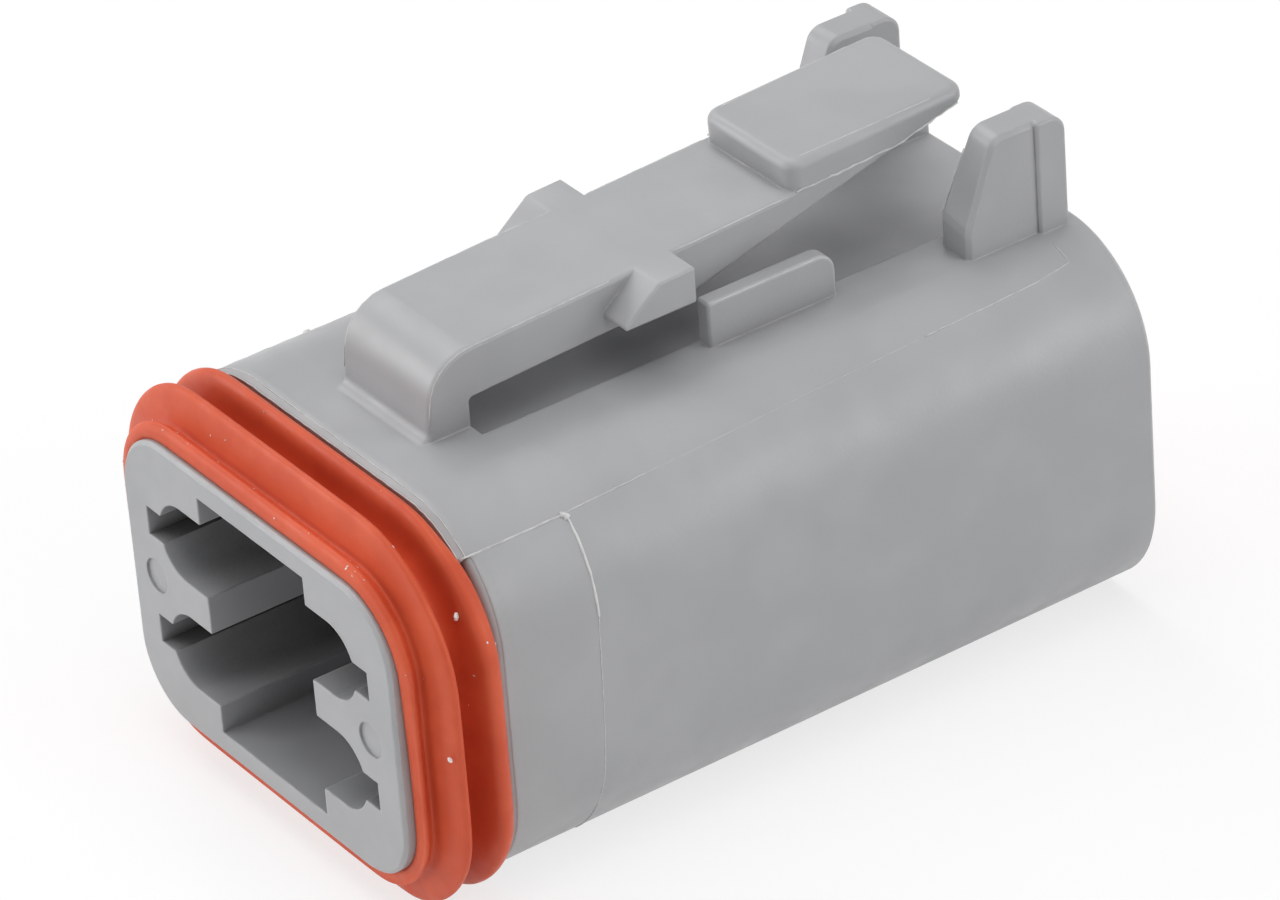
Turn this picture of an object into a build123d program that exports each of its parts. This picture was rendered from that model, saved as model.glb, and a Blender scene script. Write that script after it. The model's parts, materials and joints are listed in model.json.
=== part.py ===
"""Sealed four-way cable connector: the plug half, empty, as it comes out of the bag.

Millimetres. +Z is up, the mating nose looks along -Y and the wires leave along +Y.
The origin lies under the middle of the part, on the plane that it rests on.
"""
from build123d import *
import os
from math import atan2, degrees, radians, tan

# Contact layout, seen from the nose
CONTACT_PITCH_X = 11.0
CONTACT_PITCH_Z = 5.4
POCKET_DIAMETER = 3.64
KEYWAY_DEPTH = 0.92
KEYWAY_HEIGHT = 1.4
SLOT_WIDTH = 7.9
SLOT_HEIGHT = 11.7
CAVITY_DEPTH = 12.0

# Nose and the groove that its seal sits in
NOSE_SIDE_WALL = 1.72
NOSE_TOP_WALL = 1.07
NOSE_LENGTH = 4.42
NOSE_CORNER = 3.2
LIP_LENGTH = 0.6
LIP_EDGE = 0.15
SEAL_GROOVE = 0.35
PIN_MARK_DIAMETER = 1.6
PIN_MARK_DEPTH = 0.12
PIN_MARK_INSET = 1.95

# Body
LENGTH = 38.05
SHOULDER_SIDE = 1.24
SHOULDER_TOP = 1.95
BODY_CORNER = 5.4
FRONT_EDGE = 0.3
REAR_EDGE = 0.2
ROOT = 0.5

# Contact passages through the web, and the pocket of the wire seal
NECK_DIAMETER = 3.0
NECK_LENGTH = 4.0
BARREL_DIAMETER = 4.2
REAR_WALL = 1.5
REAR_POCKET = 10.0

# Locking fingers in the front cavity
FINGER_LENGTH = 4.6
FINGER_THICKNESS = 0.95
FINGER_WIDTH = 2.3
FINGER_HOOK = 0.45
FINGER_HOOK_LENGTH = 1.1

# Front seal
SEAL_CLEARANCE = 0.05
SEAL_LIP_HEIGHT = 0.55
SEAL_LIP_LENGTH = 0.42
SEAL_LIP_EDGE = 0.14
SEAL_VALLEY = 0.6
RIB_HEIGHT = 1.94
RIB_CORNER = 5.7
RIB_THICKNESS = 1.0
RIB_FLANK = 0.5
RIB_CROWN = 0.34
RIB_PITCH = 1.85
SEAL_REAR_GAP = 0.42

# Wire seal
WIRE_HOLE_DIAMETER = 2.3
WIRE_SEAL_LENGTH = 8.6
FUNNEL_DEPTH = 0.7
FUNNEL_FLARE = 0.55
WIRE_SEAL_EDGE = 0.3

# Latch anchor and arm
ANCHOR_SETBACK = 2.63
ANCHOR_DEPTH = 2.05
ANCHOR_LEAN = 0.35
ANCHOR_BEND = 2.2
ANCHOR_CORNER = 0.25
ANCHOR_FOOT = 0.5
ARM_STUB = 0.5
ARM_WIDTH = 6.34
ARM_THICKNESS = 2.3
ARM_GAP = 1.4
ARM_RISE = 2.4
ARM_EDGE = 0.25
UNDERCUT_START = 11.5
CHANNEL_DEPTH = 0.58
CHANNEL_CLEARANCE = 0.83

# Latch wings
WING_SPAN = 9.6
WING_HEIGHT = 1.7
WING_LENGTH = 3.6
WING_FLAT = 1.8
WING_TIP = 0.2
WING_REAR = 10.45
WING_EDGE = 0.08

# Thumb pad
PAD_FRONT = 16.6
PAD_LENGTH = 9.3
PAD_HEIGHT = 1.35
PAD_TIP = 0.55
PAD_CORNER = 0.8
PAD_EDGE = 0.45

# Guard fins beside the latch
FIN_GAP = 0.45
FIN_LENGTH = 6.5
FIN_THICKNESS = 0.85
FIN_HEIGHT = 2.12
FIN_ROUND = 0.9
FIN_EDGE = 0.1

# Ears beside the thumb pad
EAR_SPACING = 9.5
EAR_HEIGHT = 5.3
EAR_LENGTH = 5.35
EAR_INSET = 0.65
EAR_THICKNESS = 1.73
EAR_SLAB_LENGTH = 1.55
EAR_SLAB_STEP = 0.2
EAR_FOOT = 1.7
EAR_OUTER_FOOT = 1.2
EAR_INNER_LEAN = 1.8
EAR_OUTER_LEAN = 1.5
EAR_OUTER_SETBACK = 0.15
EAR_BROW = 0.8
EAR_ROUND = 0.9
EAR_EDGE = 0.2
EAR_SLAB_EDGE = 0.12

# Places that follow from the sizes above
CONTACT_X = CONTACT_PITCH_X / 2
CONTACT_Z = CONTACT_PITCH_Z / 2
POCKET_RADIUS = POCKET_DIAMETER / 2
KEYWAY_REACH = CONTACT_X + POCKET_RADIUS + KEYWAY_DEPTH
NOSE_WIDTH = 2 * (KEYWAY_REACH + NOSE_SIDE_WALL)
NOSE_HEIGHT = SLOT_HEIGHT + 2 * NOSE_TOP_WALL
NECK_WIDTH = NOSE_WIDTH - 2 * SEAL_GROOVE
NECK_HEIGHT = NOSE_HEIGHT - 2 * SEAL_GROOVE
NECK_CORNER = NOSE_CORNER - SEAL_GROOVE
BODY_WIDTH = NOSE_WIDTH + 2 * SHOULDER_SIDE
BODY_HEIGHT = NOSE_HEIGHT + 2 * SHOULDER_TOP
AXIS_HEIGHT = BODY_HEIGHT / 2
BODY_TOP = BODY_HEIGHT
FRONT = -LENGTH / 2
WEB_REAR = LENGTH - REAR_POCKET
ANCHOR_FRONT = NOSE_LENGTH + ANCHOR_SETBACK
ANCHOR_REAR = ANCHOR_FRONT + ANCHOR_DEPTH
ARM_ROOT = ANCHOR_REAR + ARM_STUB
CHANNEL_WIDTH = ARM_WIDTH + 2 * CHANNEL_CLEARANCE
PAD_REAR = PAD_FRONT + PAD_LENGTH
EAR_REAR = LENGTH - EAR_INSET
FIN_FRONT = WING_REAR + FIN_GAP
RISE = tan(radians(ARM_RISE))
SIDES = (-1, 1)


def across(distance):
    """Plane across the part, a distance behind the nose face, with X and Z as its own axes."""
    return Plane(origin=(0, FRONT + distance, AXIS_HEIGHT), x_dir=(1, 0, 0), z_dir=(0, -1, 0))


def prism(outline, start, end):
    """Solid of a cross-section between two distances behind the nose face."""
    return extrude(across(start) * outline, amount=start - end)


def beside(distance, height):
    """Point of the lengthwise plane: a distance behind the nose face and a height over the body's top."""
    return (FRONT + distance, BODY_TOP + height)


def rounded(points, *rounds):
    """Closed outline through some points, with a radius at each of the corners named after them."""
    outline = make_face(Polyline(*points, close=True))
    for corner, radius in rounds:
        outline = fillet(outline.vertices().sort_by_distance((*corner, 0))[0], radius)
    return outline


def lengthwise(outline, near, far):
    """Solid of a lengthwise outline between two places along X."""
    return extrude(Plane.YZ.offset(near) * outline, amount=far - near)


def contact_places():
    """Centres of the four contacts, each with the side that it lies on."""
    return [(side, side * CONTACT_X, row * CONTACT_Z) for side in SIDES for row in SIDES]


def arm_top(distance):
    """Height of the latch arm's top over the body's top, a distance behind the anchor's rear face."""
    return ARM_GAP + ARM_THICKNESS + RISE * (distance - ARM_STUB)


def arm_underside(distance):
    """Height of the latch arm's underside over the body's top, behind the anchor's rear face."""
    return arm_top(distance) - ARM_THICKNESS


def cavity_outline():
    """Front opening: a slot for the wedge, with four contact pockets that have a keyway each."""
    outline = Rectangle(SLOT_WIDTH, SLOT_HEIGHT)
    for side, x, z in contact_places():
        throat = CONTACT_X - SLOT_WIDTH / 4
        outline += Pos(x, z) * Circle(POCKET_RADIUS)
        outline += Pos(side * (CONTACT_X - throat / 2), z) * Rectangle(throat, POCKET_DIAMETER)
        keyway = Rectangle(KEYWAY_REACH - CONTACT_X, KEYWAY_HEIGHT)
        outline += Pos(side * (CONTACT_X + KEYWAY_REACH) / 2, z) * keyway
    return outline


def locking_finger(side, z):
    """Springy finger beside one contact pocket, with a hook for the contact's shoulder."""
    tip = CAVITY_DEPTH - FINGER_LENGTH
    outer = SLOT_WIDTH / 2
    inner = outer - FINGER_THICKNESS
    points = [
        (inner, CAVITY_DEPTH + ROOT),
        (inner, tip + FINGER_HOOK_LENGTH),
        (inner + FINGER_THICKNESS / 3, tip),
        (outer, tip),
        (outer + FINGER_HOOK, tip + FINGER_HOOK_LENGTH),
        (outer, tip + FINGER_HOOK_LENGTH),
        (outer, CAVITY_DEPTH + ROOT),
    ]
    outline = make_face(Polyline(*[(side * x, FRONT + y) for x, y in points], close=True))
    plane = Plane.XY.offset(AXIS_HEIGHT + z - FINGER_WIDTH / 2)
    return extrude(plane * outline, amount=FINGER_WIDTH, dir=(0, 0, 1))


def shell():
    """Body and nose, with the seal's groove and the rounded rims."""
    body = prism(RectangleRounded(BODY_WIDTH, BODY_HEIGHT, BODY_CORNER), NOSE_LENGTH, LENGTH)
    body = chamfer(body.faces().sort_by(Axis.Y)[-1].edges(), REAR_EDGE)
    body = chamfer(body.faces().sort_by(Axis.Y)[0].edges(), FRONT_EDGE)
    neck = prism(RectangleRounded(NECK_WIDTH, NECK_HEIGHT, NECK_CORNER), 0, NOSE_LENGTH + ROOT)
    lip = prism(RectangleRounded(NOSE_WIDTH, NOSE_HEIGHT, NOSE_CORNER), 0, LIP_LENGTH)
    lip = chamfer(lip.faces().sort_by(Axis.Y)[0].edges(), LIP_EDGE)
    return body + neck + lip


def contact_passages():
    """Four stepped passages from the front cavity through the web to the wire seal's pocket."""
    cuts = prism(cavity_outline(), -ROOT, CAVITY_DEPTH)
    for _, x, z in contact_places():
        cuts += prism(Pos(x, z) * Circle(NECK_DIAMETER / 2), CAVITY_DEPTH - ROOT, CAVITY_DEPTH + NECK_LENGTH)
        cuts += prism(Pos(x, z) * Circle(BARREL_DIAMETER / 2), CAVITY_DEPTH + NECK_LENGTH, WEB_REAR + ROOT)
    pocket = RectangleRounded(BODY_WIDTH - 2 * REAR_WALL, BODY_HEIGHT - 2 * REAR_WALL, BODY_CORNER - REAR_WALL)
    return cuts + prism(pocket, WEB_REAR, LENGTH + ROOT)


def pin_marks():
    """Shallow round marks that the ejector pins leave on the nose face."""
    place = NOSE_WIDTH / 2 - PIN_MARK_INSET
    marks = [Pos(side * place, 0) * Circle(PIN_MARK_DIAMETER / 2) for side in SIDES]
    return prism(marks[0] + marks[1], -ROOT, PIN_MARK_DEPTH)


def latch_channel():
    """Shallow channel under the latch arm, from the anchor to the rear rim."""
    floor = -CHANNEL_DEPTH
    points = [
        beside(ANCHOR_REAR, floor),
        beside(LENGTH + ROOT, floor),
        beside(LENGTH + ROOT, ROOT),
        beside(ANCHOR_REAR, ROOT),
    ]
    return lengthwise(rounded(points), -CHANNEL_WIDTH / 2, CHANNEL_WIDTH / 2)


def anchor():
    """Post at the front that carries the latch arm, with its rounded bend and a stub of the arm."""
    foot = beside(ANCHOR_FRONT, 0)
    bend = beside(ANCHOR_FRONT + ANCHOR_LEAN, arm_top(-ANCHOR_DEPTH + ANCHOR_LEAN))
    corner = beside(ANCHOR_REAR, arm_underside(0))
    points = [
        beside(ANCHOR_FRONT - ANCHOR_SETBACK / 2, -ROOT),
        beside(ANCHOR_FRONT - ANCHOR_SETBACK / 2, 0),
        foot,
        bend,
        beside(ARM_ROOT, arm_top(ARM_STUB)),
        beside(ARM_ROOT, arm_underside(ARM_STUB)),
        corner,
        beside(ANCHOR_REAR, -ROOT),
    ]
    outline = rounded(points, (foot, ANCHOR_FOOT), (bend, ANCHOR_BEND), (corner, ANCHOR_CORNER))
    post = lengthwise(outline, -ARM_WIDTH / 2, ARM_WIDTH / 2)
    bends = post.edges().filter_by(GeomType.CIRCLE).sort_by(SortBy.RADIUS)
    return fillet(bends[-2:], ARM_EDGE)


def guard_fin(side):
    """Low wall beside the latch, flush with the side of the channel."""
    front = ANCHOR_REAR + FIN_FRONT
    rear_top = beside(front + FIN_LENGTH, FIN_HEIGHT)
    points = [
        beside(front, -ROOT),
        beside(front, FIN_HEIGHT),
        rear_top,
        beside(front + FIN_LENGTH, -ROOT),
    ]
    near = side * CHANNEL_WIDTH / 2
    wall = lengthwise(rounded(points, (rear_top, FIN_ROUND)), near, near + side * FIN_THICKNESS)
    return chamfer(wall.edges(), FIN_EDGE)


def ear_face(x, setback, foot, lean):
    """Outline of an ear's thick front part on the lengthwise plane at one place along X."""
    front = EAR_REAR - EAR_LENGTH + setback
    rear = EAR_REAR - EAR_SLAB_LENGTH + ROOT
    brow = beside(front + lean, EAR_HEIGHT)
    points = [
        beside(front, -ROOT),
        beside(front, foot),
        brow,
        beside(rear, EAR_HEIGHT),
        beside(rear, -ROOT),
    ]
    return Plane.YZ.offset(x) * rounded(points, (brow, EAR_BROW))


def ear_slab(near):
    """The ear's rear part, a step wider than its front and rounded at its rear top corner."""
    front = EAR_REAR - EAR_SLAB_LENGTH
    rear_top = beside(EAR_REAR, EAR_HEIGHT)
    points = [
        beside(front, -ROOT),
        beside(front, EAR_HEIGHT),
        rear_top,
        beside(EAR_REAR, -ROOT),
    ]
    outer = near + EAR_THICKNESS + EAR_SLAB_STEP
    slab = lengthwise(rounded(points, (rear_top, EAR_ROUND)), near, outer)
    return chamfer(slab.edges(), EAR_SLAB_EDGE)


def ear(side):
    """Tall ear beside the thumb pad: a bevelled front part and a wider slab behind it."""
    near = EAR_SPACING / 2
    inner = ear_face(near, 0, EAR_FOOT, EAR_INNER_LEAN)
    outer = ear_face(near + EAR_THICKNESS, EAR_OUTER_SETBACK, EAR_OUTER_FOOT, EAR_OUTER_LEAN)
    block = loft([inner, outer], ruled=True)
    whole = chamfer(block.edges(), EAR_EDGE) + ear_slab(near)
    return whole if side > 0 else mirror(whole, about=Plane.YZ)


def housing():
    """The moulded shell with everything that came out of the mould with it, apart from the latch arm."""
    solid = shell() - latch_channel() + anchor()
    for side in SIDES:
        solid += guard_fin(side)
        solid += ear(side)
    solid = solid - contact_passages() - pin_marks()
    for side, _, z in contact_places():
        solid += locking_finger(side, z)
    return solid


def wing(side):
    """Ramped catch on one side of the latch arm, square at the rear."""
    rear = ANCHOR_REAR + WING_REAR
    front = rear - WING_LENGTH
    top = arm_top(WING_REAR)
    bottom = top - WING_HEIGHT
    crest = WING_REAR - WING_FLAT
    points = [
        beside(front, bottom),
        beside(front, bottom + WING_TIP),
        beside(ANCHOR_REAR + crest, arm_top(crest)),
        beside(rear, top),
        beside(rear, bottom),
    ]
    catch = lengthwise(rounded(points), side * (ARM_WIDTH / 2 - ROOT), side * WING_SPAN / 2)
    return chamfer(catch.edges(), WING_EDGE)


def thumb_pad():
    """Raised pad at the free end of the arm, rounded all round its top."""
    foot = arm_top(PAD_FRONT)
    outline = RectangleRounded(ARM_WIDTH, PAD_LENGTH, PAD_CORNER)
    block = extrude(outline, amount=PAD_HEIGHT)
    block = fillet(block.faces().sort_by(Axis.Z)[-1].edges(), PAD_EDGE)
    block += extrude(outline, amount=-ROOT)
    block = Pos(0, PAD_LENGTH / 2, 0) * block
    place = beside(ANCHOR_REAR + PAD_FRONT, foot)
    return Pos(0, *place) * Rot(ARM_RISE, 0, 0) * block


def undercut():
    """Space under the rear of the arm, which thins it to a wedge up to the pad's rear edge."""
    start = beside(ANCHOR_REAR + UNDERCUT_START, arm_underside(UNDERCUT_START))
    end = beside(ANCHOR_REAR + PAD_REAR, arm_top(PAD_REAR) + PAD_HEIGHT - PAD_TIP)
    slope = degrees(atan2(end[1] - start[1], end[0] - start[0]))
    block = Box(2 * ARM_WIDTH, 2 * PAD_LENGTH + PAD_REAR, PAD_REAR, align=(Align.CENTER, Align.MIN, Align.MAX))
    return Pos(0, *start) * Rot(slope, 0, 0) * block


def latch_arm():
    """Latch arm with its wings and thumb pad, cut from the anchor at its root."""
    end = PAD_REAR - PAD_CORNER
    points = [
        beside(ARM_ROOT, arm_underside(ARM_STUB)),
        beside(ANCHOR_REAR + end, arm_underside(end)),
        beside(ANCHOR_REAR + end, arm_top(end)),
        beside(ARM_ROOT, arm_top(ARM_STUB)),
    ]
    arm = lengthwise(rounded(points), -ARM_WIDTH / 2, ARM_WIDTH / 2)
    top = arm.faces().sort_by(Axis.Z)[-1]
    arm = fillet([rim for rim in top.edges() if rim.length > ARM_WIDTH], ARM_EDGE)
    for side in SIDES:
        arm += wing(side)
    return arm + thumb_pad() - undercut()


def ring(reach, corner, start, end):
    """Plate across the part that reaches past the nose's outline all round."""
    return prism(RectangleRounded(NOSE_WIDTH + 2 * reach, NOSE_HEIGHT + 2 * reach, corner), start, end)


def bevelled_ring(reach, corner, start, end, flank, crown):
    """The same plate with both rims bevelled, so far down its flanks and so far over its crown."""
    plate = ring(reach, corner, start, end)
    for end_face in (0, -1):
        face = plate.faces().sort_by(Axis.Y)[end_face]
        plate = chamfer(face.edges(), flank, crown, reference=face)
    return plate


def interface_seal():
    """Soft ring round the nose: a front lip and two round ribs on a band, bored to sit in the groove."""
    front = LIP_LENGTH + SEAL_CLEARANCE
    rear = NOSE_LENGTH - SEAL_REAR_GAP
    seal = ring(SEAL_VALLEY, NOSE_CORNER + SEAL_VALLEY, front + SEAL_LIP_LENGTH, rear)
    lip_rear = front + SEAL_LIP_LENGTH
    lip_corner = NOSE_CORNER + SEAL_LIP_HEIGHT
    seal += bevelled_ring(SEAL_LIP_HEIGHT, lip_corner, front, lip_rear, SEAL_LIP_EDGE, SEAL_LIP_EDGE)
    for rib_rear in (rear, rear - RIB_PITCH):
        seal += bevelled_ring(RIB_HEIGHT, RIB_CORNER, rib_rear - RIB_THICKNESS, rib_rear, RIB_FLANK, RIB_CROWN)
    return seal - ring(SEAL_CLEARANCE - SEAL_GROOVE, NECK_CORNER + SEAL_CLEARANCE, front - ROOT, rear + ROOT)


def wire_seal():
    """Soft block in the rear pocket, with a funnel and a hole for each wire."""
    wall = REAR_WALL + SEAL_CLEARANCE
    outline = RectangleRounded(BODY_WIDTH - 2 * wall, BODY_HEIGHT - 2 * wall, BODY_CORNER - wall)
    front = WEB_REAR + SEAL_CLEARANCE
    rear = front + WIRE_SEAL_LENGTH
    block = prism(outline, front, rear)
    block = chamfer(block.faces().sort_by(Axis.Y)[-1].edges(), WIRE_SEAL_EDGE)
    radius = WIRE_HOLE_DIAMETER / 2
    for _, x, z in contact_places():
        block -= prism(Pos(x, z) * Circle(radius), front - ROOT, rear + ROOT)
        mouth = across(rear) * Pos(x, z) * Circle(radius + FUNNEL_FLARE)
        throat = across(rear - FUNNEL_DEPTH) * Pos(x, z) * Circle(radius)
        block -= loft([mouth, throat])
    return block


PIECES = {
    "housing": housing,
    "latch_arm": latch_arm,
    "interface_seal": interface_seal,
    "wire_seal": wire_seal,
}


def main():
    """Writes each piece to its own file."""
    os.makedirs("parts", exist_ok=True)
    for name, make in PIECES.items():
        export_step(make(), f"parts/{name}.step")


if __name__ == "__main__":
    main()
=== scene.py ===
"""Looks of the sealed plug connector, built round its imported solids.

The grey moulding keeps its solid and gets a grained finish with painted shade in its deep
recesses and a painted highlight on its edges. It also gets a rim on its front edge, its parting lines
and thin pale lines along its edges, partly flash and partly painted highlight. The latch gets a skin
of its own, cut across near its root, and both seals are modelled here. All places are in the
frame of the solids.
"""

import json
import logging
import math
import random
from collections.abc import Sequence
from dataclasses import dataclass
from enum import Enum

import bmesh
import bpy
from mathutils import Euler, Matrix, Vector

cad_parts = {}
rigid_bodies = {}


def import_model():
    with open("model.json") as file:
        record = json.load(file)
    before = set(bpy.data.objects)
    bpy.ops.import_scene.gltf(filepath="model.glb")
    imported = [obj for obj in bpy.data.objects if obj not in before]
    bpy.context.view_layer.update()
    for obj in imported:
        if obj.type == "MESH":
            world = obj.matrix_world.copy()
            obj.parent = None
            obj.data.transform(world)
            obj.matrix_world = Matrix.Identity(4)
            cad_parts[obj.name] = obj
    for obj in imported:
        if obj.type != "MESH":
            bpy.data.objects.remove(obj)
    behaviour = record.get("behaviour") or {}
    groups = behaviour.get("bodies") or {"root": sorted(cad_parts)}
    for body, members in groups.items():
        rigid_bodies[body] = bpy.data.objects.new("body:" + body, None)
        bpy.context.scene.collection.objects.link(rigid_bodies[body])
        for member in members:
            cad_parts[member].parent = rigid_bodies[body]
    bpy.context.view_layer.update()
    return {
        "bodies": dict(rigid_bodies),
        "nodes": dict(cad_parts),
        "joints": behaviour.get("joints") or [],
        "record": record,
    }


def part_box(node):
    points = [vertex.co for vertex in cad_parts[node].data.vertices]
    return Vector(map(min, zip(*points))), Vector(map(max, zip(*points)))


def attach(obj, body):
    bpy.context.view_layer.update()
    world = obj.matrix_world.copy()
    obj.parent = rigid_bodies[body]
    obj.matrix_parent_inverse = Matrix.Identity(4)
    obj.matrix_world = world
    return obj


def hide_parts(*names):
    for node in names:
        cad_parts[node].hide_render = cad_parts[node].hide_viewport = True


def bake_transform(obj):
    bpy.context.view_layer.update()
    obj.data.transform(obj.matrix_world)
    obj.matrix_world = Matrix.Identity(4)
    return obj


# Metres in a millimetre, and the distance at which two points count as one
MM = 0.001
MERGE = 0.001 * MM
# Left and right, as the sign of X
SIDES = (-1, 1)
# Ranges of a noise that make patches and, softer, clouds
PATCHY = (0.35, 0.65)
CLOUDY = (0.3, 0.7)
LOG = logging.getLogger("connector")

Pair = tuple[float, float]
Colour = tuple[float, float, float]
Point = tuple[float, float, float]
Socket = bpy.types.NodeSocket
Material = bpy.types.Material
Piece = bpy.types.Object


class Body(Enum):
    """Rigid bodies of the frame that pieces ride on."""

    SHELL = "shell"
    LATCH = "latch"


class Slot(Enum):
    """Material slots of the record."""

    HOUSING = "housing"
    SEAL = "seal"


class Solid(Enum):
    """Solids of the frame."""

    HOUSING = "housing"
    LATCH_ARM = "latch_arm"
    FRONT_SEAL = "interface_seal"
    WIRE_SEAL = "wire_seal"


@dataclass(frozen=True)
class Layout:
    """Places that the frame's record gives, in metres.

    Attributes:
        front: Y of the nose face.
        axis: Height of the nose's axis over the floor.
        root: Point on the latch's bending line.
        wires: Middle of each straight wire hole.
        wire_radius: Radius of the wire holes.
    """

    front: float
    axis: float
    root: Vector
    wires: tuple[Vector, ...]
    wire_radius: float

    @classmethod
    def read(cls, frame: dict) -> "Layout":
        """Takes the places from the loaded frame.


        Returns:
            The layout of this part.
        """
        mounts = {mount["name"]: mount for mount in frame["record"]["mounts"]}
        nose = mounts["mating_face"]["pos_m"]
        holes = [mount for name, mount in mounts.items() if name.startswith("wire_entry")]
        return cls(
            front=nose[1],
            axis=nose[2],
            root=Vector(frame["joints"][0]["pos_m"]),
            wires=tuple(Vector(hole["pos_m"]) for hole in holes),
            wire_radius=holes[0]["dims"]["r_mm"] * MM,
        )

    @property
    def body_top(self) -> float:
        """Height of the body's flat top."""
        return 2 * self.axis

    def over_top(self, across: float, distance: float, height: float) -> Vector:
        """Point by its place over the body's top.

        Args:
            across: Distance to the right of the middle, in millimetres.
            distance: Distance behind the nose face, in millimetres.
            height: Height over the body's top, in millimetres.

        Returns:
            The point.
        """
        return Vector((across * MM, self.front + distance * MM, self.body_top + height * MM))

    def both_sides(self, line: Sequence[Point]) -> list[list[Vector]]:
        """A line on the right and its mirror image on the left.

        Args:
            line: Its corners: across, behind the nose face and over the body's top, in millimetres.

        Returns:
            The corners of the left line and of the right one.
        """
        return [[self.over_top(side * across, back, up) for across, back, up in line] for side in SIDES]


class ShaderGraph:
    """A material's nodes, with short ways to add and join them."""

    EDGE_LIKENESS = (0.985, 0.85)

    def __init__(self, name: str) -> None:
        """Starts a material that holds only its output and one shader.

        Args:
            name: Name of the material.
        """
        self.material = bpy.data.materials.new(name)
        self.material.use_nodes = True
        self.nodes = self.material.node_tree.nodes
        self.links = self.material.node_tree.links
        self.shader = self.nodes["Principled BSDF"]
        self.output = self.nodes["Material Output"]
        self.place = self.nodes.new("ShaderNodeTexCoord").outputs["Object"]

    def add(self, kind: str, settings: dict | None = None, **inputs: object) -> bpy.types.ShaderNode:
        """Adds a node.

        Args:
            kind: The node's type, without the shader prefix.
            settings: Values of the node's own properties.
            **inputs: What its inputs are fed with, as for fill.

        Returns:
            The new node.
        """
        node = self.nodes.new("ShaderNode" + kind)
        for name, value in (settings or {}).items():
            setattr(node, name, value)
        self.fill(node, **inputs)
        return node

    def fill(self, node: bpy.types.ShaderNode, **inputs: object) -> None:
        """Feeds some of a node's inputs.

        Args:
            node: The node.
            **inputs: A value or an output for each input, with _ for a space in its name.
        """
        for name, value in inputs.items():
            self.feed(node.inputs[name.replace("_", " ")], value)

    def feed(self, socket: Socket, value: object) -> None:
        """Sets an input to a value, or links it to another node's output.

        Args:
            socket: The input.
            value: The value or the output.
        """
        if isinstance(value, Socket):
            self.links.new(value, socket)
        else:
            socket.default_value = value

    def noise(self, size: float, detail: float = 2.0) -> Socket:
        """Noise with grains of about one size.

        Args:
            size: Width of a grain in metres.
            detail: Number of finer octaves.

        Returns:
            The noise's value.
        """
        return self.add("TexNoise", Vector=self.place, Scale=1 / size, Detail=detail).outputs["Fac"]

    def band(self, value: Socket, low: float, high: float, start: float, end: float) -> Socket:
        """Maps a range of a value to another range, with smooth ends.

        Args:
            value: The value to map.
            low: Value that gives start.
            high: Value that gives end.
            start: Result at low.
            end: Result at high.

        Returns:
            The mapped value.
        """
        ends = {"From_Min": low, "From_Max": high, "To_Min": start, "To_Max": end}
        node = self.add("MapRange", {"interpolation_type": "SMOOTHSTEP"}, Value=value, **ends)
        return node.outputs["Result"]

    def math(self, operation: str, first: object, second: object = 0.0) -> Socket:
        """Joins two values.

        Args:
            operation: Name of the operation.
            first: A value or an output.
            second: A value or an output, where the operation takes two.

        Returns:
            The result.
        """
        node = self.add("Math", {"operation": operation})
        self.feed(node.inputs[0], first)
        self.feed(node.inputs[1], second)
        return node.outputs["Value"]

    def mix(self, share: Socket, first: object, second: object, kind: str = "RGBA") -> Socket:
        """Mixes two colours or two vectors.

        Args:
            share: Share of the second one.
            first: Colour, vector or output at share 0.
            second: Colour, vector or output at share 1.
            kind: What is mixed.

        Returns:
            The mixture.
        """
        return self.add("Mix", {"data_type": kind}, Factor=share, A=first, B=second).outputs["Result"]

    def height(self, value: Socket, depth: float, under: Socket | None = None) -> Socket:
        """Turns a value into small bumps.

        Args:
            value: Height of the surface, from 0 to 1.
            depth: Height of 1, in metres.
            under: Normal of the bumps beneath, if any.

        Returns:
            The new normal.
        """
        node = self.add("Bump", Height=value, Distance=depth)
        if under is not None:
            self.feed(node.inputs["Normal"], under)
        return node.outputs["Normal"]

    def soft_edges(self, radius: float, keep: Socket) -> tuple[Socket, Socket]:
        """Rounds the look of sharp edges.

        Args:
            radius: Radius of the rounding, in metres.
            keep: 1 where edges are rounded and 0 where they stay as they are.

        Returns:
            The normal, and how near an edge is, from 0 to 1.
        """
        flat = self.add("NewGeometry").outputs["Normal"]
        bent = self.add("Bevel", {"samples": 6}, Radius=radius).outputs["Normal"]
        normal = self.mix(keep, flat, bent, "VECTOR")
        likeness = self.add("VectorMath", {"operation": "DOT_PRODUCT"})
        self.feed(likeness.inputs[0], flat)
        self.feed(likeness.inputs[1], normal)
        return normal, self.band(likeness.outputs["Value"], *self.EDGE_LIKENESS, 0, 1)


def sight(tree: bpy.types.NodeTree) -> Socket:
    """Tells rays that look at something from those that light it.

    Args:
        tree: Nodes that it is added to.

    Returns:
        An output that is 1 for rays from the camera, in gloss and in glass, and else 0.
    """
    rays = tree.nodes.new("ShaderNodeLightPath").outputs
    looks = rays["Is Camera Ray"]
    for kind in ("Is Glossy Ray", "Is Transmission Ray"):
        either = tree.nodes.new("ShaderNodeMath")
        either.operation = "MAXIMUM"
        tree.links.new(looks, either.inputs[0])
        tree.links.new(rays[kind], either.inputs[1])
        looks = either.outputs["Value"]
    return looks


def opaque(colour: Colour) -> tuple[float, float, float, float]:
    """A colour with full cover, as sockets take it."""
    return (*colour, 1.0)


def scaled(colour: Colour, factor: float) -> Colour:
    """A colour made darker or paler."""
    return tuple(min(1.0, factor * channel) for channel in colour)


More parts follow.
